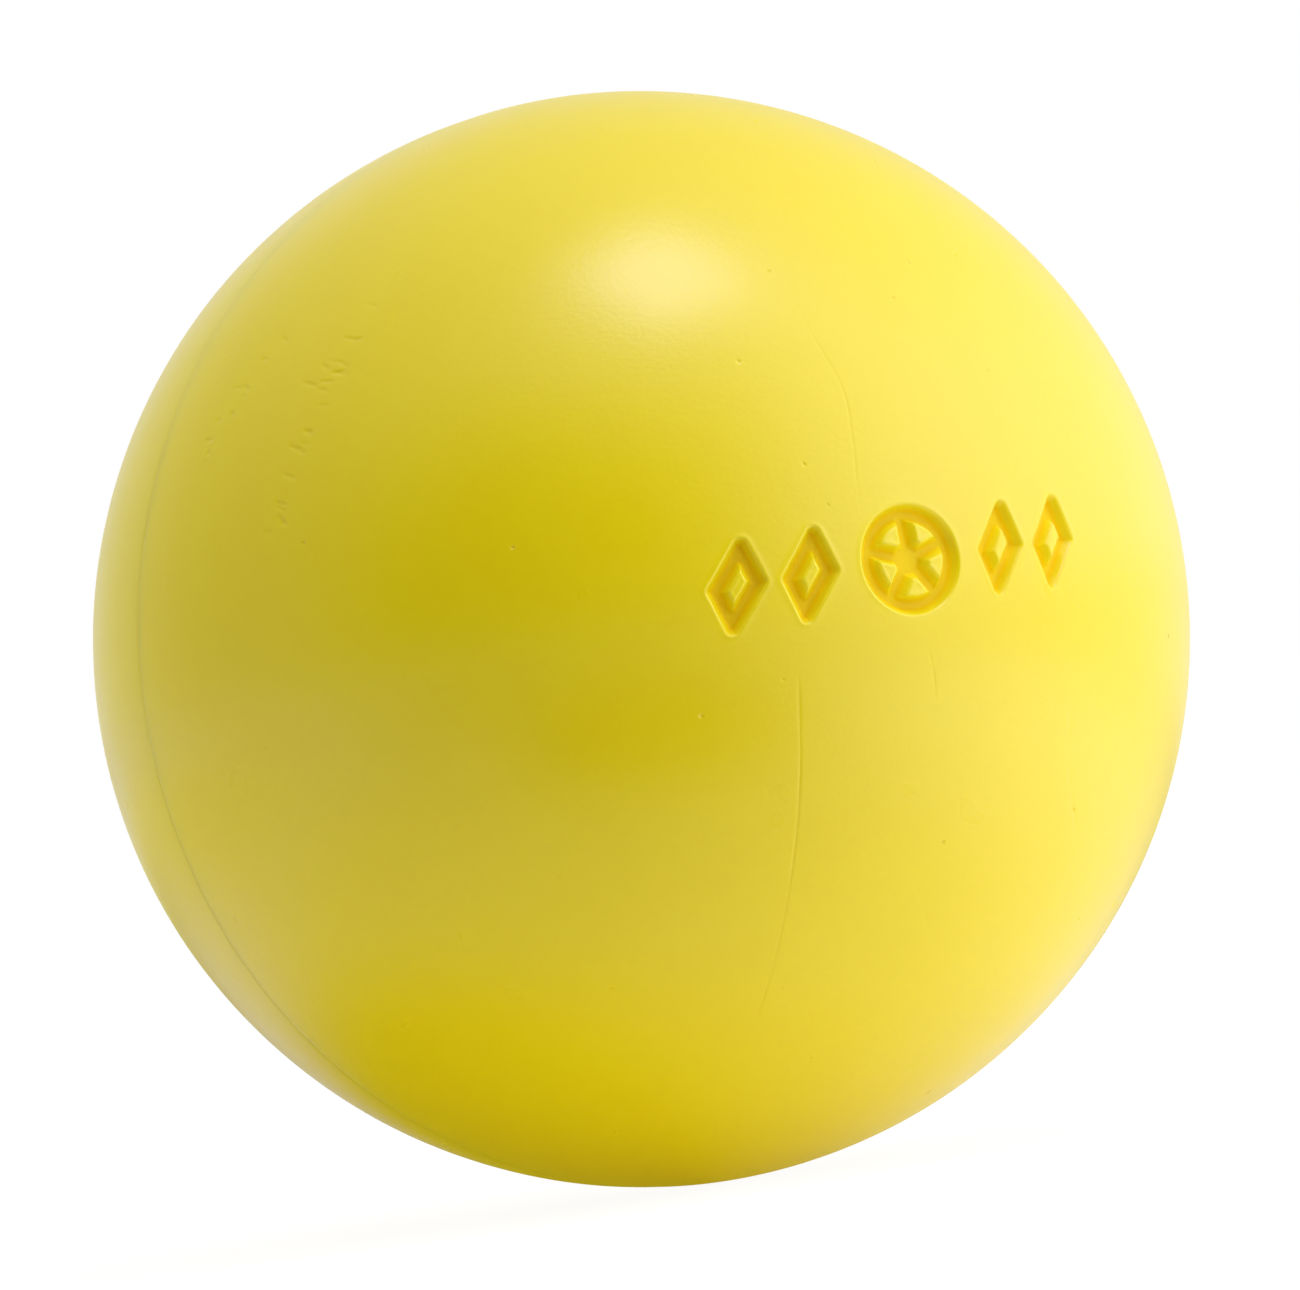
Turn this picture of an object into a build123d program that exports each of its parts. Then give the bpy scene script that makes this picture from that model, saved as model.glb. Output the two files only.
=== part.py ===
from build123d import *

import os
from math import cos, radians, sin, sqrt, tan

# Table football match ball, about 33 mm across.
#
# The ball is a light foam core inside a tough yellow skin. The skin is two half covers that meet in a
# lap joint on the XZ plane, where a fine witness groove shows all round. The cover half on the -Y side
# carries a shallow sunk mark near its pole: a small football symbol with slanted lozenge outlines beside it.
#
# Frame: the origin is the ball's centre, +Z is up, and the covers' common axis is Y.

# Driving dimensions, in millimetres and degrees.
BALL_DIAMETER = 33.1
COVER_THICKNESS = 2.0

# Lap joint: the marked half has a spigot that stands in the plain half's recess.
LAP_HEIGHT = 1.3
LAP_SHARE = 0.5  # how much of the cover's thickness the spigot takes
LAP_DRAFT = 4.0
SEAM_CHAMFER = 0.05

# The sunk mark: where it sits on the cover, and the size of what is in it.
MARK_RIGHT = 2.8  # degrees from the pole towards +X
MARK_UP = 3.5  # degrees from the pole towards +Z
MARK_DEPTH = 0.35
LOZENGE_HEIGHT = 2.9
LOZENGE_WIDTH = 1.6
LOZENGE_SLANT = 14.0
LOZENGE_CORNER = 0.14
LOZENGE_STROKE = 0.4
LOZENGES_PER_SIDE = 2
LOZENGE_PITCH = 2.15
LOZENGE_PAIR_X = 4.3  # from the middle of the mark to the middle of each pair
SYMBOL_RADIUS = 1.55
SYMBOL_STROKE = 0.42
PANEL_RADIUS = 0.62
PANEL_SIDES = 5

# Worked out from the above.
BALL_R = BALL_DIAMETER / 2
CORE_R = BALL_R - COVER_THICKNESS
SPIGOT_R = CORE_R + LAP_SHARE * COVER_THICKNESS
SPIGOT_TIP_R = SPIGOT_R - LAP_HEIGHT * tan(radians(LAP_DRAFT))
SPIGOT_INNER_R = sqrt(CORE_R**2 - LAP_HEIGHT**2)
CHAMFER_R = sqrt(BALL_R**2 - SEAM_CHAMFER**2)


def on_circle(radius, degrees):
    """A point on a circle about the origin, with 0 degrees at +X and 90 at +Y."""
    return radius * cos(radians(degrees)), radius * sin(radians(degrees))


def half_cover_section(side):
    """The section of one half cover, from the axis at X = 0 out to the seam; side is its sign along Y."""
    pole = (0, side * BALL_R)
    chamfer = (CHAMFER_R, side * SEAM_CHAMFER)
    inner_pole = (0, side * CORE_R)
    inner_edge = (SPIGOT_INNER_R, LAP_HEIGHT)
    with BuildSketch() as section:
        with BuildLine():
            ThreePointArc(pole, on_circle(BALL_R, side * 45), chamfer)
            Polyline(
                chamfer,
                (BALL_R - SEAM_CHAMFER, 0),
                (SPIGOT_R, 0),
                (SPIGOT_TIP_R, LAP_HEIGHT),
                inner_edge,
            )
            ThreePointArc(inner_edge, on_circle(CORE_R, side * 45), inner_pole)
            Line(inner_pole, pole)
        make_face()
    return section.sketch


# The plane that touches the ball at the middle of the mark: its X is the way the row of the mark runs.
mark_out = Vector(
    sin(radians(MARK_RIGHT)) * cos(radians(MARK_UP)),
    -cos(radians(MARK_RIGHT)) * cos(radians(MARK_UP)),
    sin(radians(MARK_UP)),
)
mark_right = Vector(cos(radians(MARK_RIGHT)), sin(radians(MARK_RIGHT)), 0)
mark_plane = Plane(origin=mark_out * BALL_R, x_dir=mark_right, z_dir=mark_out)


# Foam core: the light sphere that fills the covers.
with BuildPart() as foam_core:
    Sphere(CORE_R)


# Mark cutter: everything that is sunk into the cover, down to one even depth below its surface.
with BuildPart() as mark_cutter:
    with BuildSketch(mark_plane) as lozenges:
        with BuildSketch(mode=Mode.PRIVATE) as lozenge:
            half_width, half_height = LOZENGE_WIDTH / 2, LOZENGE_HEIGHT / 2
            lean = half_height * tan(radians(LOZENGE_SLANT))
            with BuildLine():
                Polyline(
                    (lean, half_height),
                    (-half_width, 0),
                    (-lean, -half_height),
                    (half_width, 0),
                    close=True,
                )
            make_face()
            island = offset(amount=-LOZENGE_STROKE, kind=Kind.INTERSECTION, mode=Mode.PRIVATE)
            fillet(lozenge.vertices(), LOZENGE_CORNER)
            add(island, mode=Mode.SUBTRACT)
        with Locations((-LOZENGE_PAIR_X, 0), (LOZENGE_PAIR_X, 0)):
            with GridLocations(LOZENGE_PITCH, 0, LOZENGES_PER_SIDE, 1):
                add(lozenge.sketch)
    extrude(amount=BALL_R / 2, both=True)
    with BuildSketch(mark_plane) as symbol:
        Circle(SYMBOL_RADIUS)
        Circle(SYMBOL_RADIUS - SYMBOL_STROKE, mode=Mode.SUBTRACT)
        RegularPolygon(PANEL_RADIUS, PANEL_SIDES, rotation=90)
        with PolarLocations(SYMBOL_RADIUS / 2, PANEL_SIDES, start_angle=90):
            Rectangle(SYMBOL_RADIUS - SYMBOL_STROKE / 2, SYMBOL_STROKE)
    extrude(amount=BALL_R / 2, both=True)
    Sphere(BALL_R - MARK_DEPTH, mode=Mode.SUBTRACT)


# Marked half: the cover on the -Y side, with the spigot of the lap joint and the sunk mark.
with BuildPart() as marked_half:
    with BuildSketch(Plane.XY):
        add(half_cover_section(side=-1))
    revolve(axis=Axis.Y)
    add(mark_cutter.part, mode=Mode.SUBTRACT)


# Plain half: the cover on the +Y side, with the recess of the lap joint.
with BuildPart() as plain_half:
    with BuildSketch(Plane.XY):
        add(half_cover_section(side=1))
    revolve(axis=Axis.Y)


foam_core.part.label = "foam_core"
marked_half.part.label = "marked_half"
plain_half.part.label = "plain_half"

os.makedirs("parts", exist_ok=True)
for piece in (foam_core.part, marked_half.part, plain_half.part):
    export_step(piece, f"parts/{piece.label}.step")
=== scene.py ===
"""Looks of the table football ball: relief, satin plastic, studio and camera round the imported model.

The two cover halves are rebuilt here as fine closed meshes with everything that a moulded cover has:
the sunk mark with its rounded lips, the rolled-over edges of the seam, knit lines, flow ripples,
pinholes and the gate's scar. Lengths are in millimetres and angles in degrees until a mesh is made.
"""

from math import asin, atan2, cos, hypot, pi, radians, sin, sqrt, tan

import bmesh
import bpy
import numpy as np
from mathutils import Matrix, Vector


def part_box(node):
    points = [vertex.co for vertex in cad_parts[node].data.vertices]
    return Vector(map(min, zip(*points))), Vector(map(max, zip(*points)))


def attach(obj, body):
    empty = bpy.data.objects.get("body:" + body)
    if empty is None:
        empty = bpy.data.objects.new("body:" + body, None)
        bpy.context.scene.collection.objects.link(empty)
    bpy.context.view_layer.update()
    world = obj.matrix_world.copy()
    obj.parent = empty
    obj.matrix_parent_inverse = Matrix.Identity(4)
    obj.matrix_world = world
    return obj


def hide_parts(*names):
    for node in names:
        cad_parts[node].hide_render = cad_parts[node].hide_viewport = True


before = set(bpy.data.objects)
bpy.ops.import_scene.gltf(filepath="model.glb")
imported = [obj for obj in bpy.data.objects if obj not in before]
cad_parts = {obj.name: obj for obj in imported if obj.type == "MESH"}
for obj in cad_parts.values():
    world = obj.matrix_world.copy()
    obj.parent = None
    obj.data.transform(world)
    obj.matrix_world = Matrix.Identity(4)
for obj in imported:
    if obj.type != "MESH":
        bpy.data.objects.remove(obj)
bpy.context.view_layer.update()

MM = 0.001  # metres in a millimetre
FAR = 1e9  # farther than anything on the ball
SEED = 33
PLAIN_SEED = SEED + 1
WAVE_SEED = SEED + 7

# ---------------------------------------------------------------------------------------------
# Driving dimensions. The ball's, core's and lap's sizes are the frame's own.
# ---------------------------------------------------------------------------------------------
BALL_R = round(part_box("plain_half")[1].y / MM, 2)
CORE_R = round(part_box("foam_core")[1].y / MM, 2)
LAP_HEIGHT = round(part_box("marked_half")[1].y / MM, 2)
LAP_SHARE = 0.5
LAP_DRAFT = 4.0
SPIGOT_R = CORE_R + LAP_SHARE * (BALL_R - CORE_R)
SPIGOT_TIP_R = SPIGOT_R - LAP_HEIGHT * tan(radians(LAP_DRAFT))
SPIGOT_INNER_R = sqrt(CORE_R**2 - LAP_HEIGHT**2)

# The sunk mark: a small football symbol with two slanted lozenge outlines on each side of it.
MARK_RIGHT = 2.8
MARK_UP = 3.5
MARK_DEPTH = 0.35
LOZENGE_HEIGHT = 2.9
LOZENGE_WIDTH = 1.6
LOZENGE_SLANT = 14.0
LOZENGE_CORNER = 0.14
LOZENGE_STROKE = 0.4
LOZENGE_PITCH = 2.15
LOZENGE_PAIR_X = 4.3
SYMBOL_RADIUS = 1.55
SYMBOL_STROKE = 0.42
PANEL_RADIUS = 0.62
PANEL_SIDES = 5
LIP_WIDTH = 0.13  # how far outside the outline the surface starts to roll over
WALL_WIDTH = 0.16  # how far inside the outline the wall reaches the floor
RIM_HEIGHT = 0.018  # the plastic that stands slightly raised round the mark
RIM_WIDTH = 0.08
MARK_FLOOR_SHARE = 0.55  # how far down the wall the floor's duller finish and its painted amber shade begin
MARK_FINE_MIDDLE = -0.01  # the middle of the strip along the outline that has the finest cells
MARK_FINE_REACH = 0.14

# The seam: both covers roll over into a fine groove.
SEAM_DEPTH = 0.022
SEAM_ROLL = 0.045
SEAM_STEP = 0.014  # how much lower the plain half stands beside the seam
SEAM_STEP_REACH = 0.9
SEAM_OPEN = 0.75  # the share of the depth that the groove has on average
SEAM_OPEN_SWING = 0.45
SEAM_CLOSEST_AT = 2.1  # radians round the seam, where the groove is nearly closed
SEAM_WANDER = 0.2

# The short ripples: widths, depths and lengths, and how unevenly they lie along their chain.
RIPPLE_WIDTH = 0.055
RIPPLE_DEPTHS = (0.015, 0.04)
RIPPLE_LENGTH_SHARES = (0.35, 1.0)
RIPPLE_LEAN = 0.22
RIPPLE_SCATTER = 0.25

# The pinholes and nibs of each half.
PIT_COUNT = 26
PIT_RADII = (0.035, 0.06)
PIT_DEPTH_SHARES = (0.5, 0.9)
PIT_AREA_SHARE = 0.985  # the share of a half, from its pole, that they are spread over
PINHOLE_SHARE = 0.8
NIB_HEIGHT_SHARE = 0.4

# The gate's scar: a fine ring, a torn nub and a shallow dish.
GATE_RING_R = 1.0
GATE_RING_WIDTH = 0.045
GATE_RING_DEPTH = 0.03
GATE_NUB_R = 0.42
GATE_NUB_HEIGHT = 0.055
GATE_NUB_EDGE = 0.12
GATE_DISH_DEPTH = 0.02
GATE_DISH_EDGE = 0.2
GATE_FINE_REACH = 0.08

# The cover's slight unevenness, as wavelengths and heights.
SLOW_WAVES = ((26, 0.012), (15, 0.006), (8, 0.0022), (5, 0.001))
WAVES_OF_EACH = 4

# How fine the meshes are.
CELLS = 112  # cells along each side of the patch that covers most of a half
CAP_EDGE = 1.2  # distance from that patch's edge to the seam
SEAM_ROWS = (0.9, 0.6, 0.42, 0.3, 0.22, 0.16, 0.115, 0.08, 0.052, 0.03, 0.013, 0.0)
FINEST = 0.028
PIT_FINE = 0.034
BROAD_FINE = 0.05  # for broad lines and short ripples
COARSEST = 10.0
COARSENING = 0.36  # growth of the cells for each millimetre away from a detail
CELL_TOLERANCE = 1.3  # a cell is halved if it is this many times larger than wanted
REFINE_ROUNDS = 4
INNER_ROWS = 18
SHARP_ANGLE = 50

MARKED, PLAIN = -1, 1  # a half's side of the seam plane, as the sign of Y


# ---------------------------------------------------------------------------------------------
# Places on the ball
# ---------------------------------------------------------------------------------------------
def place(side, right, up):
    """The unit vector that many degrees to the right of a half's pole and above it, seen from outside."""
    r, u = radians(right), radians(up)
    return np.array((-side * sin(r) * cos(u), side * cos(r) * cos(u), sin(u)))


def smooth_route(points, steps=10):
    """A smooth line on the ball through given (unit vector) points, as an array of unit vectors."""
    p = np.array([2 * points[0] - points[1], *points, 2 * points[-1] - points[-2]])
    t = np.linspace(0, 1, steps, endpoint=False)[:, None]
    runs = []
    for a, b, c, d in zip(p, p[1:], p[2:], p[3:]):
        first = (c - a) * t / 2
        second = (a - 2.5 * b + 2 * c - d / 2) * t**2
        third = (1.5 * (b - c) + (d - a) / 2) * t**3
        runs.append(b + first + second + third)
    line = np.vstack([*runs, points[-1]])
    return line / np.linalg.norm(line, axis=1)[:, None]


def nearest_on_line(places, line):
    """Each place's distance from a line on the ball, and where along the line, 0 to 1, it is nearest."""
    best = np.full(len(places), FAR)
    along = np.zeros(len(places))
    lengths = np.linalg.norm(np.diff(line, axis=0), axis=1)
    starts = np.concatenate(([0], np.cumsum(lengths)))
    for a, b, length, start in zip(line, line[1:], lengths, starts):
        run = (b - a) / length
        t = np.clip((places - a) @ run, 0, length)
        gap = np.linalg.norm(places - a - t[:, None] * run, axis=1)
        closer = gap < best
        best[closer] = gap[closer]
        along[closer] = (start + t[closer]) / starts[-1]
    return best, along


def smoothstep(x):
    """0 up to x = 0 and 1 from x = 1, with a smooth rise between them."""
    x = np.clip(x, 0, 1)
    return x * x * x * (x * (6 * x - 15) + 10)


# ---------------------------------------------------------------------------------------------
# Relief: every detail says how far away it is, for the mesh's fineness, and how high it stands
# ---------------------------------------------------------------------------------------------
class Groove:
    """A fine line in the surface. Its ends fade out, and its depth wanders along it."""

    near_gap = 1.5  # places nearer than this to the line's surroundings are measured to the line itself

    def __init__(self, points, width, depth, fine=FINEST, fade=0.25, wander=0.35, phase=0.0):
        self.line = smooth_route(points) * BALL_R
        self.width, self.depth, self.fine, self.fade = width, depth, fine, fade
        self.wander, self.phase = wander, phase
        self.middle = self.line.mean(axis=0)
        self.reach = np.linalg.norm(self.line - self.middle, axis=1).max()

    def distance(self, places):
        rough = np.linalg.norm(places - self.middle, axis=1) - self.reach
        near = rough < self.near_gap
        rough[near] = nearest_on_line(places[near], self.line)[0]
        return np.maximum(rough - 1.6 * self.width, 0)

    def height(self, places):
        out = np.zeros(len(places))
        near = np.linalg.norm(places - self.middle, axis=1) < self.reach + 5 * self.width
        gap, along = nearest_on_line(places[near], self.line)
        ends = smoothstep(np.minimum(along, 1 - along) / self.fade)
        vary = 1 + self.wander * np.sin(along * 23 + self.phase) * np.sin(along * 9 + 2 * self.phase)
        out[near] = -self.depth * ends * vary * np.exp(-((gap / self.width) ** 2))
        return out


class Pit:
    """A pinhole, or with a negative depth a small nib."""

    def __init__(self, centre, radius, depth, fine=FINEST):
        self.centre, self.radius, self.depth, self.fine = centre * BALL_R, radius, depth, fine

    def distance(self, places):
        return np.maximum(np.linalg.norm(places - self.centre, axis=1) - 1.5 * self.radius, 0)

    def height(self, places):
        gap = np.linalg.norm(places - self.centre, axis=1)
        return -self.depth * np.exp(-((gap / self.radius) ** 2) ** 1.5)


def polygon_distance(x, y, corners):
    """Signed distance to a closed polygon, negative inside."""
    gap = np.full(x.shape, FAR)
    inside = np.zeros(x.shape, bool)
    for (ax, ay), (bx, by) in zip(corners, corners[1:] + corners[:1]):
        ex, ey = bx - ax, by - ay
        t = np.clip(((x - ax) * ex + (y - ay) * ey) / (ex * ex + ey * ey), 0, 1)
        gap = np.minimum(gap, np.hypot(x - ax - t * ex, y - ay - t * ey))
        if ey:
            inside ^= ((ay > y) != (by > y)) & (x < ax + (y - ay) * ex / ey)
    return np.where(inside, -gap, gap)


def inset(corners, amount):
    """The corners of a convex polygon moved in by an amount from every side."""
    moved = []
    for before, here, after in zip(corners[-1:] + corners[:-1], corners, corners[1:] + corners[:1]):
        to_before, to_after = Vector(before) - Vector(here), Vector(after) - Vector(here)
        to_before.normalize()
        to_after.normalize()
        half_angle = to_before.angle(to_after) / 2
        middle = (to_before + to_after).normalized()
        moved.append(tuple(Vector(here) + middle * (amount / sin(half_angle))))
    return moved


class Mark:
    """The sunk mark, laid out on the plane that touches the ball at the mark's middle."""

    fine = FINEST

    def __init__(self):
        self.out = place(MARKED, MARK_RIGHT, MARK_UP)
        self.right = np.array((cos(radians(MARK_RIGHT)), sin(radians(MARK_RIGHT)), 0))
        self.up = np.cross(self.out, self.right)
        half_width, half_height = LOZENGE_WIDTH / 2, LOZENGE_HEIGHT / 2
        lean = half_height * tan(radians(LOZENGE_SLANT))
        corners = [(lean, half_height), (-half_width, 0), (-lean, -half_height), (half_width, 0)]
        self.lozenge = inset(corners, LOZENGE_CORNER)
        self.island = inset(corners, LOZENGE_STROKE)
        turns = [radians(90 + 360 / PANEL_SIDES * i) for i in range(PANEL_SIDES)]
        self.panel = [(PANEL_RADIUS * cos(a), PANEL_RADIUS * sin(a)) for a in turns]
        self.spokes = [(cos(a), sin(a)) for a in turns]

    def outline(self, places):
        """Signed distance to the mark's outline, negative inside it."""
        x, y = places @ self.right, places @ self.up
        parts = [polygon_distance(x, y, self.panel)]
        ring_r = SYMBOL_RADIUS - SYMBOL_STROKE / 2
        parts.append(np.abs(np.hypot(x, y) - ring_r) - SYMBOL_STROKE / 2)
        for sx, sy in self.spokes:
            t = np.clip(x * sx + y * sy, 0, ring_r)
            parts.append(np.hypot(x - t * sx, y - t * sy) - SYMBOL_STROKE / 2)
        for pair_x in (-LOZENGE_PAIR_X, LOZENGE_PAIR_X):
            for side in (-0.5, 0.5):
                middle = pair_x + side * LOZENGE_PITCH
                outer = polygon_distance(x - middle, y, self.lozenge) - LOZENGE_CORNER
                parts.append(np.maximum(outer, -polygon_distance(x - middle, y, self.island)))
        return np.where(places @ self.out > 0, np.minimum.reduce(parts), BALL_R)

    def distance(self, places):
        return np.maximum(np.abs(self.outline(places) - MARK_FINE_MIDDLE) - MARK_FINE_REACH, 0)

    def height(self, places):
        outline = self.outline(places)
        down = smoothstep((LIP_WIDTH - outline) / (LIP_WIDTH + WALL_WIDTH))
        rim = RIM_HEIGHT * np.exp(-(((outline - LIP_WIDTH) / RIM_WIDTH) ** 2))
        return rim - MARK_DEPTH * down


class GateScar:
    """Where the plastic came in: a fine ring, and a low nub left by the runner."""

    fine = FINEST

    def __init__(self, side):
        self.centre = place(side, 0, 0) * BALL_R

    def distance(self, places):
        gap = np.linalg.norm(places - self.centre, axis=1)
        from_edges = np.minimum(np.abs(gap - GATE_RING_R), np.abs(gap - GATE_NUB_R))
        return np.maximum(from_edges - GATE_FINE_REACH, 0)

    def height(self, places):
        offset = places - self.centre
        gap = np.linalg.norm(offset, axis=1)
        ring = -GATE_RING_DEPTH * np.exp(-(((gap - GATE_RING_R) / GATE_RING_WIDTH) ** 2))
        torn = 1 + 0.35 * np.sin(9 * offset[:, 0] + 1) * np.sin(11 * offset[:, 2])
        nub = GATE_NUB_HEIGHT * torn * smoothstep((GATE_NUB_R - gap) / GATE_NUB_EDGE)
        dish = -GATE_DISH_DEPTH * smoothstep((GATE_RING_R - gap) / GATE_DISH_EDGE)
        return ring + nub + dish


def ripple_chain(side, start, end, count, length, rng):
    """Short ripples across a line, where the plastic folded as it filled the mould."""
    a, b = place(side, *start), place(side, *end)
    along = (b - a) / np.linalg.norm(b - a)
    chain = []
    for t in np.sort(rng.uniform(0, 1, count)):
        middle = a + (b - a) * t
        middle /= np.linalg.norm(middle)
        across = np.cross(middle, along) + along * rng.normal(0, RIPPLE_LEAN)
        middle = middle + across * rng.normal(0, RIPPLE_SCATTER) / BALL_R
        half = length * rng.uniform(*RIPPLE_LENGTH_SHARES) / 2 / BALL_R
        ends = [middle - across * half, middle + across * half]
        ends = [e / np.linalg.norm(e) for e in ends]
        depth = rng.uniform(*RIPPLE_DEPTHS)
        chain.append(Groove(ends, RIPPLE_WIDTH, depth, fine=BROAD_FINE, fade=0.45, wander=0))
    return chain


def scattered_pits(side, rng):
    """Pinholes and a few nibs, spread at random over one half."""
    found = []
    for _ in range(PIT_COUNT):
        polar = asin(sqrt(rng.uniform(0, PIT_AREA_SHARE)))
        around = rng.uniform(0, 2 * pi)
        centre = np.array((sin(polar) * cos(around), side * cos(polar), sin(polar) * sin(around)))
        radius = rng.uniform(*PIT_RADII)
        depth = radius * rng.uniform(*PIT_DEPTH_SHARES)
        if rng.uniform() >= PINHOLE_SHARE:
            depth *= -NIB_HEIGHT_SHARE
        found.append(Pit(centre, radius, depth, fine=PIT_FINE))
    return found


def route(side, *points):
    """Places on the ball from listed points, each given as degrees to the right and up."""
    return [place(side, *p) for p in points]


def marked_details():
    """The mark, three knit lines, two broad flow lines, two chains of ripples, and pits."""
    rng = np.random.default_rng(SEED)
    knit_below = route(MARKED, (-11, -3.5), (-11.5, -9), (-12.2, -17), (-13.5, -26), (-16, -37), (-20, -48))
    knit_above = route(MARKED, (-1.5, 38), (-1.2, 29), (0, 22), (-0.8, 16), (-1.5, 12), (-2, 6.5))
    knit_short = route(MARKED, (3, -4), (3.6, -8), (3.7, -12.5))
    flow_low = route(MARKED, (-4.5, -19), (0, -27), (7, -38.5), (14.5, -46))
    flow_right = route(MARKED, (23.5, -7), (22.5, -15), (24, -22.5), (31, -32))
    details = [
        Mark(),
        Groove(knit_below, width=0.042, depth=0.017, fade=0.2),
        Groove(knit_above, width=0.045, depth=0.008, fade=0.3, phase=1.0),
        Groove(knit_short, width=0.042, depth=0.014, fade=0.4, phase=2.0),
        Groove(flow_low, width=0.07, depth=0.006, fine=BROAD_FINE, fade=0.4, phase=3.0),
        Groove(flow_right, width=0.07, depth=0.007, fine=BROAD_FINE, fade=0.4, phase=4.0),
    ]
    details += ripple_chain(MARKED, (-81.5, 23), (-70, 40), count=9, length=0.7, rng=rng)
    details += ripple_chain(MARKED, (-67.5, 14), (-55.5, 40), count=26, length=1.0, rng=rng)
    details += scattered_pits(MARKED, rng)
    return details


def plain_details():
    """The gate's scar, three flow lines from it, a chain of ripples, and pits."""
    rng = np.random.default_rng(PLAIN_SEED)
    flow_a = route(PLAIN, (3, 6), (8, 17), (11, 30), (20, 46))
    flow_b = route(PLAIN, (-5, -3), (-16, -12), (-26, -17), (-41, -20))
    flow_c = route(PLAIN, (30, -12), (36, -20), (39, -31))
    details = [
        GateScar(PLAIN),
        Groove(flow_a, width=0.045, depth=0.014, phase=0.5),
        Groove(flow_b, width=0.045, depth=0.012, phase=1.5),
        Groove(flow_c, width=0.07, depth=0.007, fine=BROAD_FINE, phase=2.5),
    ]
    details += ripple_chain(PLAIN, (58, 24), (66, -6), count=16, length=0.9, rng=rng)
    details += scattered_pits(PLAIN, rng)
    return details


def slow_waves(places, rng):
    """The cover's slight unevenness: waves of some millimetres, under a hundredth of a millimetre high."""
    out = np.zeros(len(places))
    for wavelength, height in SLOW_WAVES:
        for _ in range(WAVES_OF_EACH):
            ray = rng.normal(size=3)
            ray *= 2 * pi / wavelength / np.linalg.norm(ray)
            out += height / 2 * np.sin(places @ ray + rng.uniform(0, 2 * pi))
    return out


def seam_relief(places, side):
    """The roll-over at a half's edge, nearly closed in places, and the small step between the halves."""
    gap = np.abs(places[:, 1])
    around = np.arctan2(places[:, 2], places[:, 0])
    swing = SEAM_OPEN_SWING * np.cos(around - SEAM_CLOSEST_AT)
    open_share = SEAM_OPEN - swing + SEAM_WANDER * np.sin(17 * around) * np.sin(41 * around + 2)
    roll = -SEAM_DEPTH * np.exp(-gap / SEAM_ROLL) * open_share
    step = SEAM_STEP * np.exp(-gap / SEAM_STEP_REACH) if side == PLAIN else 0
    return roll - step


def relief(places, side, details):
    """How far each place of the ball's outer surface stands above the plain sphere."""
    up = slow_waves(places, np.random.default_rng(WAVE_SEED)) + seam_relief(places, side)
    for detail in details:
        up += detail.height(places)
    return up


# ---------------------------------------------------------------------------------------------
# Meshes of the cover halves
# ---------------------------------------------------------------------------------------------
def square_to_disc(u, v):
    """The even map from a square to a disc, which keeps cells about the same size."""
    if abs(u) > abs(v):
        radius, angle = u, pi / 4 * v / u
    elif v:
        radius, angle = v, pi / 2 - pi / 4 * u / v
    else:
        return 0.0, 0.0
    return radius * cos(angle), radius * sin(angle)


def cap_point(side, u, v):
    """Where a point of the square from -1 to 1 lies on a half's large patch."""
    x, z = square_to_disc(u, v)
    rho = hypot(x, z)
    polar = rho * (pi / 2 - asin(CAP_EDGE / BALL_R))
    share = sin(polar) / rho if rho else 0
    return Vector((x * share, side * cos(polar), z * share)) * BALL_R


def add_ring(bm, previous, radius, height):
    """A ring of vertices round the Y axis, joined to the previous ring, at the same angles."""
    ring = []
    for v in previous:
        around = atan2(v.co.z, v.co.x)
        ring.append(bm.verts.new((radius * cos(around), height, radius * sin(around))))
    for i, v in enumerate(previous):
        bm.faces.new((previous[i - 1], v, ring[i], ring[i - 1]))
    return ring


def outer_surface(side):
    """The even outer sphere of one half, up to the seam."""
    bm = bmesh.new()
    steps = [2 * i / CELLS - 1 for i in range(CELLS + 1)]
    grid = [[bm.verts.new(cap_point(side, u, v)) for u in steps] for v in steps]
    for row, next_row in zip(grid, grid[1:]):
        for i in range(CELLS):
            bm.faces.new((row[i], row[i + 1], next_row[i + 1], next_row[i]))
    right, left = [row[-1] for row in grid], [row[0] for row in grid]
    rim = grid[0][:-1] + right[:-1] + grid[-1][:0:-1] + left[:0:-1]
    for gap in SEAM_ROWS:
        rim = add_ring(bm, rim, sqrt(BALL_R**2 - gap**2), side * gap)
    return bm


def refine(bm, details):
    """Halves the cells near each detail until they are fine enough to show it."""
    for _ in range(REFINE_ROUNDS):
        bm.faces.ensure_lookup_table()
        centres = np.array([f.calc_center_median() for f in bm.faces])
        sizes = np.sqrt([f.calc_area() for f in bm.faces])
        wanted = np.full(len(centres), COARSEST)
        for detail in details:
            wanted = np.minimum(wanted, detail.fine + COARSENING * detail.distance(centres))
        too_large = np.flatnonzero(sizes > CELL_TOLERANCE * wanted)
        edges = {e for i in too_large for e in bm.faces[i].edges}
        bmesh.ops.subdivide_edges(bm, edges=list(edges), cuts=1, use_grid_fill=True)
        for v in bm.verts:
            v.co *= BALL_R / v.co.length


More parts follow.
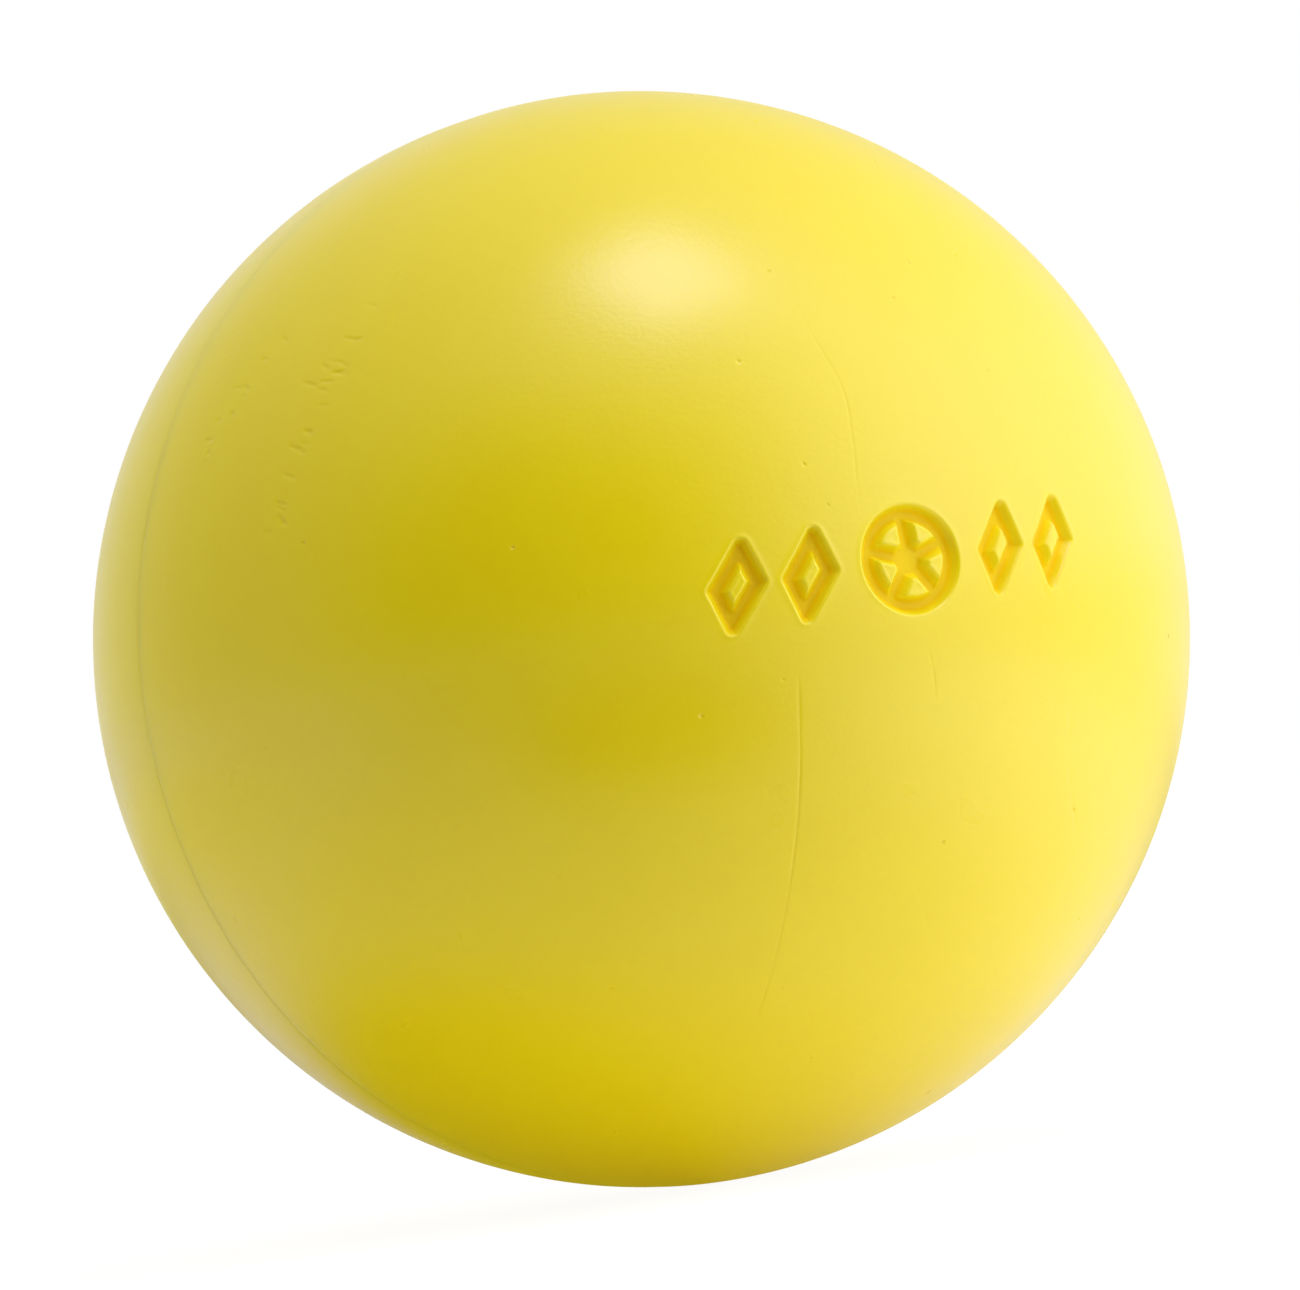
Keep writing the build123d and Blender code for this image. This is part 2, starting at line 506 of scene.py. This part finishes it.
def close_cover(bm, side):
    """Adds the seam face, the lap joint and the inside, so that the half is one closed solid."""
    open_edges = [e for e in bm.edges if e.is_boundary]
    rim = sorted({v for e in open_edges for v in e.verts}, key=lambda v: atan2(v.co.z, v.co.x))
    ring = add_ring(bm, rim, SPIGOT_R, 0)
    ring = add_ring(bm, ring, SPIGOT_TIP_R, LAP_HEIGHT)
    ring = add_ring(bm, ring, SPIGOT_INNER_R, LAP_HEIGHT)
    start = atan2(SPIGOT_INNER_R, side * LAP_HEIGHT)
    for i in range(1, INNER_ROWS):
        polar = start * (1 - i / INNER_ROWS)
        ring = add_ring(bm, ring, CORE_R * sin(polar), side * CORE_R * cos(polar))
    pole = bm.verts.new((0, side * CORE_R, 0))
    for i, v in enumerate(ring):
        bm.faces.new((ring[i - 1], v, pole))
    bmesh.ops.recalc_face_normals(bm, faces=bm.faces)


def give_mark_floor_its_slot(mesh, sunk):
    """Faces whose corners are all sunk take the second material: duller plastic whose more amber tint is
    painted shade of the recess.
    """
    for face in mesh.polygons:
        face.material_index = int(all(v < len(sunk) and sunk[v] for v in face.vertices))


def cover_half(name, side, details):
    """One half of the cover as a closed piece, with all its relief."""
    bm = outer_surface(side)
    refine(bm, details)
    outer_count = len(bm.verts)
    close_cover(bm, side)
    for face in bm.faces:
        face.smooth = True
    mesh = bpy.data.meshes.new(name)
    bm.to_mesh(mesh)
    bm.free()
    co = np.zeros(len(mesh.vertices) * 3)
    mesh.vertices.foreach_get("co", co)
    co = co.reshape(-1, 3)
    outer = co[:outer_count]
    for detail in details:
        if isinstance(detail, Mark):
            give_mark_floor_its_slot(mesh, detail.height(outer) < -MARK_FLOOR_SHARE * MARK_DEPTH)
    outer *= 1 + relief(outer, side, details)[:, None] / BALL_R
    mesh.vertices.foreach_set("co", (co * MM).ravel())
    mesh.set_sharp_from_angle(angle=radians(SHARP_ANGLE))
    mesh.update()
    piece = bpy.data.objects.new(name, mesh)
    bpy.context.scene.collection.objects.link(piece)
    return piece


# ---------------------------------------------------------------------------------------------
# Materials
# ---------------------------------------------------------------------------------------------
class Nodes:
    """A short way to write a material's node tree."""

    def __init__(self, owner):
        """The owner is a new material or world."""
        self.owner = owner
        self.owner.use_nodes = True
        self.tree = self.owner.node_tree
        self.tree.nodes.clear()

    def set(self, socket, value):
        """Joins a socket to another node's output, or gives it a plain value."""
        if isinstance(value, bpy.types.NodeSocket):
            self.tree.links.new(value, socket)
        else:
            socket.default_value = value

    def add(self, kind, **inputs):
        """A new node, with some of its inputs set by name, where _ stands for a space."""
        node = self.tree.nodes.new(kind)
        for key, value in inputs.items():
            self.set(node.inputs[key.replace("_", " ")], value)
        return node

    def noise(self, coords, size):
        """Soft noise whose blobs are about size millimetres across."""
        node = self.add("ShaderNodeTexNoise", Vector=coords, Scale=1 / (size * MM), Detail=1.0)
        return node.outputs["Fac"]

    def ramp(self, value, low, high, from_low=0.0, from_high=1.0):
        """A value that goes from low to high as another goes over its range, and stays within them."""
        node = self.add("ShaderNodeMapRange", Value=value)
        node.inputs["From Min"].default_value = from_low
        node.inputs["From Max"].default_value = from_high
        node.inputs["To Min"].default_value = low
        node.inputs["To Max"].default_value = high
        return node.outputs["Result"]

    def mix(self, share, a, b):
        """Colour a where the share is 0 and colour b where it is 1."""
        node = self.tree.nodes.new("ShaderNodeMix")
        node.data_type = "RGBA"
        for socket, value in ((node.inputs[0], share), (node.inputs[6], a), (node.inputs[7], b)):
            self.set(socket, value)
        return node.outputs[2]

    def bump(self, height, depth, normal=None):
        """Bump where a height of 0 to 1 is depth millimetres, on top of another normal if one is given."""
        node = self.add("ShaderNodeBump", Height=height, Strength=1.0, Distance=depth * MM)
        if normal is not None:
            self.set(node.inputs["Normal"], normal)
        return node.outputs["Normal"]

    def vector_math(self, operation, vector, other):
        """The plain number that a vector operation gives."""
        node = self.tree.nodes.new("ShaderNodeVectorMath")
        node.operation = operation
        self.set(node.inputs[0], vector)
        self.set(node.inputs[1], other)
        return node.outputs["Value"]

    def scaled(self, color, share):
        """A colour times a share."""
        node = self.tree.nodes.new("ShaderNodeVectorMath")
        node.operation = "SCALE"
        self.set(node.inputs[0], color)
        self.set(node.inputs["Scale"], share)
        return node.outputs["Vector"]

    def finish(self, shader):
        """Joins the shader to the material's output, and gives the material."""
        out = self.tree.nodes.new("ShaderNodeOutputMaterial")
        self.tree.links.new(shader.outputs[0], out.inputs["Surface"])
        return self.owner


# The plastic: the sizes of what varies in its tint, gloss and surface.
CLOUD_SIZE = 9.0
CLOUD_RANGE = (0.1, 0.9)  # the noise values between which the first two tints mix
PATCH_SIZE = 3.0
PATCH_SHARE = 0.4  # how much of the third tint the patches show at most
SCUFF_SIZE = 1.6
SCUFF_SPREAD = 0.03
PEEL_SIZE = 0.3
PEEL_DEPTH = 0.003
GRAIN_SIZE = 0.16
GRAIN_DEPTH = 0.0045
PLASTIC_IOR = 1.55
PLASTIC_SUBSURFACE = 0.4
PLASTIC_SUBSURFACE_REACH = (0.95, 0.95, 0.08)  # red and green light goes far in, blue doesn't
COVER_TINTS = ((0.865, 0.70, 0.002, 1), (0.88, 0.72, 0.004, 1), (0.84, 0.665, 0.001, 1))
# The mark floor's tints: the cover's yellow made more amber, as painted shade of the recess.
MARK_TINTS_PAINTED_SHADE = ((0.92, 0.675, 0.001, 1), (0.93, 0.69, 0.001, 1), (0.90, 0.65, 0.001, 1))

# The core's foam.
FOAM_TINTS = ((0.86, 0.74, 0.38, 1), (0.74, 0.58, 0.22, 1))
FOAM_CELL = 0.5
FOAM_CELL_EDGE = 0.6
FOAM_BUMP = 0.05
FOAM_ROUGHNESS = 0.85


def cover_material(name, tints, roughness, specular):
    """Moulded plastic in three close tints, with a fine grain and soft scuffs in its gloss."""
    n = Nodes(bpy.data.materials.new(name))
    coords = n.tree.nodes.new("ShaderNodeTexCoord").outputs["Object"]
    clouds = n.ramp(n.noise(coords, CLOUD_SIZE), 0, 1, *CLOUD_RANGE)
    patches = n.ramp(n.noise(coords, PATCH_SIZE), 0, PATCH_SHARE)
    base = n.mix(patches, n.mix(clouds, tints[0], tints[1]), tints[2])
    scuffs = n.noise(coords, SCUFF_SIZE)
    rough = n.ramp(scuffs, roughness - SCUFF_SPREAD, roughness + SCUFF_SPREAD)
    peel = n.bump(n.noise(coords, PEEL_SIZE), PEEL_DEPTH)
    grain = n.bump(n.noise(coords, GRAIN_SIZE), GRAIN_DEPTH, normal=peel)
    shader = n.add("ShaderNodeBsdfPrincipled", Base_Color=base, Roughness=rough, Normal=grain)
    shader.inputs["IOR"].default_value = PLASTIC_IOR
    shader.inputs["Specular IOR Level"].default_value = specular
    shader.inputs["Subsurface Weight"].default_value = PLASTIC_SUBSURFACE
    shader.inputs["Subsurface Radius"].default_value = PLASTIC_SUBSURFACE_REACH
    shader.inputs["Subsurface Scale"].default_value = MM
    return n.finish(shader)


def foam_material():
    """The core's pale foam, with small closed cells."""
    n = Nodes(bpy.data.materials.new("core_foam"))
    coords = n.tree.nodes.new("ShaderNodeTexCoord").outputs["Object"]
    cells = n.add("ShaderNodeTexVoronoi", Vector=coords, Scale=1 / (FOAM_CELL * MM)).outputs["Distance"]
    base = n.mix(n.ramp(cells, 0, 1, 0.0, FOAM_CELL_EDGE), *FOAM_TINTS)
    shader = n.add("ShaderNodeBsdfPrincipled", Base_Color=base, Normal=n.bump(cells, FOAM_BUMP))
    shader.inputs["Roughness"].default_value = FOAM_ROUGHNESS
    return n.finish(shader)


# ---------------------------------------------------------------------------------------------
# Camera, floor and light
# ---------------------------------------------------------------------------------------------
CAMERA_AZIMUTH = -26.5
CAMERA_ELEVATION = -0.4
CAMERA_ROLL = 8.6
CAMERA_DISTANCE = 331.0
LENS = 303.4
AIM_RIGHT = 0.26
AIM_UP = -0.18
LAMP_DISTANCE = 450
KEY_DIRECTION = (0.045, 0.981, 0.186)  # to the right, up and towards the camera
FLOOR_HALF_SIZE = 4000
BOUNCE_DROP = 0.05  # how far the floor that lights the ball lies below the one that the camera sees


def camera_axes():
    """The camera's right, up and back directions in the ball's frame."""
    a, e, roll = radians(CAMERA_AZIMUTH), radians(CAMERA_ELEVATION), radians(CAMERA_ROLL)
    back = Vector((sin(a) * cos(e), -cos(a) * cos(e), sin(e)))
    level = Vector((cos(a), sin(a), 0))
    upright = back.cross(level)
    right = level * cos(roll) - upright * sin(roll)
    return right, back.cross(right), back


RIGHT, UP, BACK = camera_axes()


def make_camera():
    """The camera of the main view, aimed just beside the ball's middle."""
    data = bpy.data.cameras.new("camera")
    data.lens = LENS
    data.clip_start, data.clip_end = 0.01, 10
    camera = bpy.data.objects.new("camera", data)
    bpy.context.scene.collection.objects.link(camera)
    aim = (RIGHT * AIM_RIGHT + UP * AIM_UP) * MM
    turn = Matrix((RIGHT, UP, BACK)).transposed().to_4x4()
    camera.matrix_world = Matrix.Translation(aim + BACK * CAMERA_DISTANCE * MM) @ turn
    bpy.context.scene.camera = camera


def from_view(right, up, back):
    """A direction given by how far it goes to the right, up and towards the camera."""
    return (RIGHT * right + UP * up + BACK * back).normalized()


def around_ball(azimuth, elevation):
    """A direction from the ball by azimuth, 0 towards the camera and 90 to its right, and elevation."""
    a, e = radians(azimuth), radians(elevation)
    front = Vector((BACK.x, BACK.y, 0)).normalized()
    side = Vector((-front.y, front.x, 0))
    return (front * cos(a) + side * sin(a)) * cos(e) + Vector((0, 0, sin(e)))


def softbox(name, direction, width, height, radiance, color):
    """An area light that faces the ball. Its width and height are the degrees that the ball sees."""
    data = bpy.data.lights.new(name, "AREA")
    data.shape = "RECTANGLE"
    data.size = 2 * LAMP_DISTANCE * tan(radians(width / 2)) * MM
    data.size_y = 2 * LAMP_DISTANCE * tan(radians(height / 2)) * MM
    data.energy = radiance * pi * data.size * data.size_y
    data.color = color
    light = bpy.data.objects.new(name, data)
    bpy.context.scene.collection.objects.link(light)
    light.location = direction * LAMP_DISTANCE * MM
    light.rotation_mode = "QUATERNION"
    light.rotation_quaternion = direction.to_track_quat("Z", "Y")
    light.visible_camera = False


def stage_card(name, material, drop):
    """A large square card under the ball, that many millimetres below its lowest point."""
    reach = FLOOR_HALF_SIZE
    square = ((-reach, -reach), (reach, -reach), (reach, reach), (-reach, reach))
    corners = [tuple(Vector((x, y, -BALL_R - drop)) * MM) for x, y in square]
    mesh = bpy.data.meshes.new(name)
    mesh.from_pydata(corners, [], [(0, 1, 2, 3)])
    mesh.materials.append(material)
    card = bpy.data.objects.new(name, mesh)
    bpy.context.scene.collection.objects.link(card)
    return card


# The tent's light. Each patch has an azimuth and elevation, how many degrees from its middle it is full
# and where it ends, and how much brighter or darker than plain white it is.
TENT_PATCHES = (
    (0, 8, 25, 62, -0.7),  # the opening that the camera looks through
    (-70, 5, 10, 48, -0.4),  # the left wall, far from the lamps
    (70, 12, 15, 55, 0.55),  # the right wall, close to the lamps
    (40, 45, 15, 50, 0.6),  # the lamp above on the right
    (-25, 45, 15, 50, -0.25),  # the roof on the left
    (-145, 40, 30, 75, -0.35),  # the back
    (-150, 8, 8, 38, 0.3),  # light that comes past the back's left edge
)
# How much more or less blue the tent's light is by direction: warm from the left and cool from the right.
TENT_BLUES = (
    (-22, -2, 28, 66, -0.9),  # the opening and what is left of it
    (-130, 12, 10, 38, -0.35),  # the back on the left
    (12, 42, 12, 36, -0.3),  # above the opening
    (98, -8, 22, 60, 0.6),  # the right wall
    (110, 50, 10, 35, 0.25),  # the roof on the right
    (0, 90, 10, 45, 0.25),  # straight above
)
# Painted shade and painted light on the floor that lights the ball. Each patch has its middle's azimuth
# and distance, how far from there it is full and where it ends, and its amount: a share of the light, or
# added light.
# Painted shade: where the floor gives back less light.
PAINTED_FLOOR_SHADE = (
    (0, 60, 15, 32, -0.8),  # in front, under the opening
    (-15, 165, 60, 150, -0.9),  # farther out in front
    (180, 90, 30, 90, -0.6),  # behind
    (-85, 12, 4, 14, -0.2),  # beside the contact, away from the lamps
)
# Painted light: glow added to the floor round the contact and under the lamps.
PAINTED_FLOOR_LIGHT = (
    (0, 0, 6, 24, 0.16),  # round the contact
    (70, 60, 18, 50, 0.7),  # under the lamps
)
# Painted yellow light on the floor: close to the ball, standing for the yellow light that the ball bounces
# onto it, and on the left.
PAINTED_YELLOW_FLOOR_LIGHT = (
    (-80, 7, 5, 18, 1.0),  # round the contact
    (-35, 32, 12, 34, 0.35),  # in front on the left
    (25, 45, 10, 30, 0.2),  # in front on the right
    (-100, 78, 20, 50, 0.45),  # farther out on the left
    (-142, 145, 40, 110, 0.5),  # behind on the left
)
WHITE = (1, 1, 1, 1)
COOL_WHITE = (1, 1, 1.5, 1)
# The colour of the painted yellow light on the floor.
PAINTED_LIGHT_YELLOW = (1, 0.96, 0.1, 1)
FLOOR_GLOW = 0.08
FLOOR_ALBEDO = 0.82
FLOOR_ROUGHNESS = 0.8
SEEN_FLOOR_ALBEDO = (0.12, 0.12, 0.12, 1)
SEEN_FLOOR_GLOW = 0.93


def patchwork(n, start, patches):
    """A start value plus, for each patch, its amount inside inner, fading to nothing at outer."""
    total = start
    for gap, inner, outer, amount in patches:
        share = n.add("ShaderNodeMapRange", Value=gap)
        share.interpolation_type = "SMOOTHSTEP"
        share.inputs["From Min"].default_value = inner
        share.inputs["From Max"].default_value = outer
        share.inputs["To Min"].default_value = amount
        share.inputs["To Max"].default_value = 0
        sum_so_far = n.tree.nodes.new("ShaderNodeMath")
        n.set(sum_so_far.inputs[0], total)
        n.set(sum_so_far.inputs[1], share.outputs["Result"])
        total = sum_so_far.outputs[0]
    return total


def tent_patchwork(n, coords, rows):
    """The patchwork for patches of the tent, where the gap is the cosine of the angle to the middle."""
    patches = []
    for azimuth, elevation, inner, outer, amount in rows:
        gap = n.vector_math("DOT_PRODUCT", coords, around_ball(azimuth, elevation))
        patches.append((gap, cos(radians(inner)), cos(radians(outer)), amount))
    return patchwork(n, 1.0, patches)


def floor_patchwork(n, start, rows):
    """The patchwork for patches of the floor, where the gap is the distance to the middle."""
    spot = n.tree.nodes.new("ShaderNodeNewGeometry").outputs["Position"]
    patches = []
    for azimuth, distance, inner, outer, amount in rows:
        middle = around_ball(azimuth, 0) * distance * MM
        middle.z = -BALL_R * MM
        gap = n.vector_math("DISTANCE", spot, middle)
        patches.append((gap, inner * MM, outer * MM, amount))
    return patchwork(n, start, patches)


def tent_world():
    """White all round to the camera. The light that it gives is uneven, as in a real light tent."""
    n = Nodes(bpy.data.worlds.new("light_tent"))
    coords = n.tree.nodes.new("ShaderNodeTexCoord").outputs["Generated"]
    tint = n.add("ShaderNodeCombineColor", Red=1, Green=1, Blue=tent_patchwork(n, coords, TENT_BLUES))
    strength = tent_patchwork(n, coords, TENT_PATCHES)
    light = n.add("ShaderNodeBackground", Color=tint.outputs[0], Strength=strength)
    white = n.add("ShaderNodeBackground", Color=WHITE, Strength=1.0)
    either = n.tree.nodes.new("ShaderNodeMixShader")
    n.set(either.inputs[0], n.tree.nodes.new("ShaderNodeLightPath").outputs["Is Camera Ray"])
    n.set(either.inputs[1], light.outputs[0])
    n.set(either.inputs[2], white.outputs[0])
    out = n.tree.nodes.new("ShaderNodeOutputWorld")
    n.set(out.inputs["Surface"], either.outputs[0])
    return n.owner


def matt_floor(n, color, glow_color, glow):
    """A material with no gloss that gives light of its own as well."""
    shader = n.add("ShaderNodeBsdfPrincipled", Base_Color=color, Emission_Color=glow_color)
    n.set(shader.inputs["Emission Strength"], glow)
    shader.inputs["Roughness"].default_value = FLOOR_ROUGHNESS
    shader.inputs["Specular IOR Level"].default_value = 0.0
    return n.finish(shader)


def bounce_material():
    """The floor as the ball sees it, with painted shade, painted light and painted yellow light in places.
    """
    n = Nodes(bpy.data.materials.new("floor_bounce"))
    # The share of light that the painted shade leaves, and where the painted yellow light lies.
    share = n.ramp(floor_patchwork(n, 1.0, PAINTED_FLOOR_SHADE), 0, 1)
    yellow = floor_patchwork(n, 0.0, PAINTED_YELLOW_FLOOR_LIGHT)
    color = n.scaled(n.mix(yellow, WHITE, PAINTED_LIGHT_YELLOW), n.ramp(share, 0, FLOOR_ALBEDO))
    # The floor's glow, cool white or yellow, carries the painted light.
    glow_color = n.scaled(n.mix(yellow, COOL_WHITE, PAINTED_LIGHT_YELLOW), share)
    return matt_floor(n, color, glow_color, floor_patchwork(n, FLOOR_GLOW, PAINTED_FLOOR_LIGHT))


def seen_floor_material():
    """The floor as the camera sees it: almost white, with a faint contact shadow."""
    n = Nodes(bpy.data.materials.new("floor_white"))
    return matt_floor(n, SEEN_FLOOR_ALBEDO, WHITE, SEEN_FLOOR_GLOW)


def make_studio():
    """The tent, the two floors in one place and the two lamps."""
    scene = bpy.context.scene
    scene.view_settings.view_transform = "Standard"
    scene.world = tent_world()
    floor = stage_card("floor", seen_floor_material(), 0)
    for kind in ("diffuse", "glossy", "transmission", "volume_scatter", "shadow"):
        setattr(floor, "visible_" + kind, False)
    bounce = stage_card("floor_bounce", bounce_material(), BOUNCE_DROP)
    bounce.visible_camera = False
    key_color = (0.965, 0.95, 1.25)
    softbox("key_softbox", from_view(*KEY_DIRECTION), 20, 20, radiance=4.55, color=key_color)
    softbox("top_softbox", around_ball(30, 66), 60, 50, radiance=0.1, color=(1, 1, 1.6))


# ---------------------------------------------------------------------------------------------
# The scene
# ---------------------------------------------------------------------------------------------
cover_finish = cover_material("yellow_cover_plastic", COVER_TINTS, roughness=0.29, specular=0.5)
# The mark's floor: rougher, less glossy plastic, whose more amber tints are painted shade of the recess.
mark_finish_and_painted_shade = cover_material("yellow_mark_plastic_painted_shade", MARK_TINTS_PAINTED_SHADE, roughness=0.55, specular=0.15)
for half_name, half_side, make_details in (
    ("marked_half", MARKED, marked_details),
    ("plain_half", PLAIN, plain_details),
):
    half = cover_half(half_name + "_cover", half_side, make_details())
    half.data.materials.append(cover_finish)
    if half_side == MARKED:
        half.data.materials.append(mark_finish_and_painted_shade)
    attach(half, "root")
    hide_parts(half_name)

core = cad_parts["foam_core"]
core.data.materials.clear()
core.data.materials.append(foam_material())

make_camera()
make_studio()
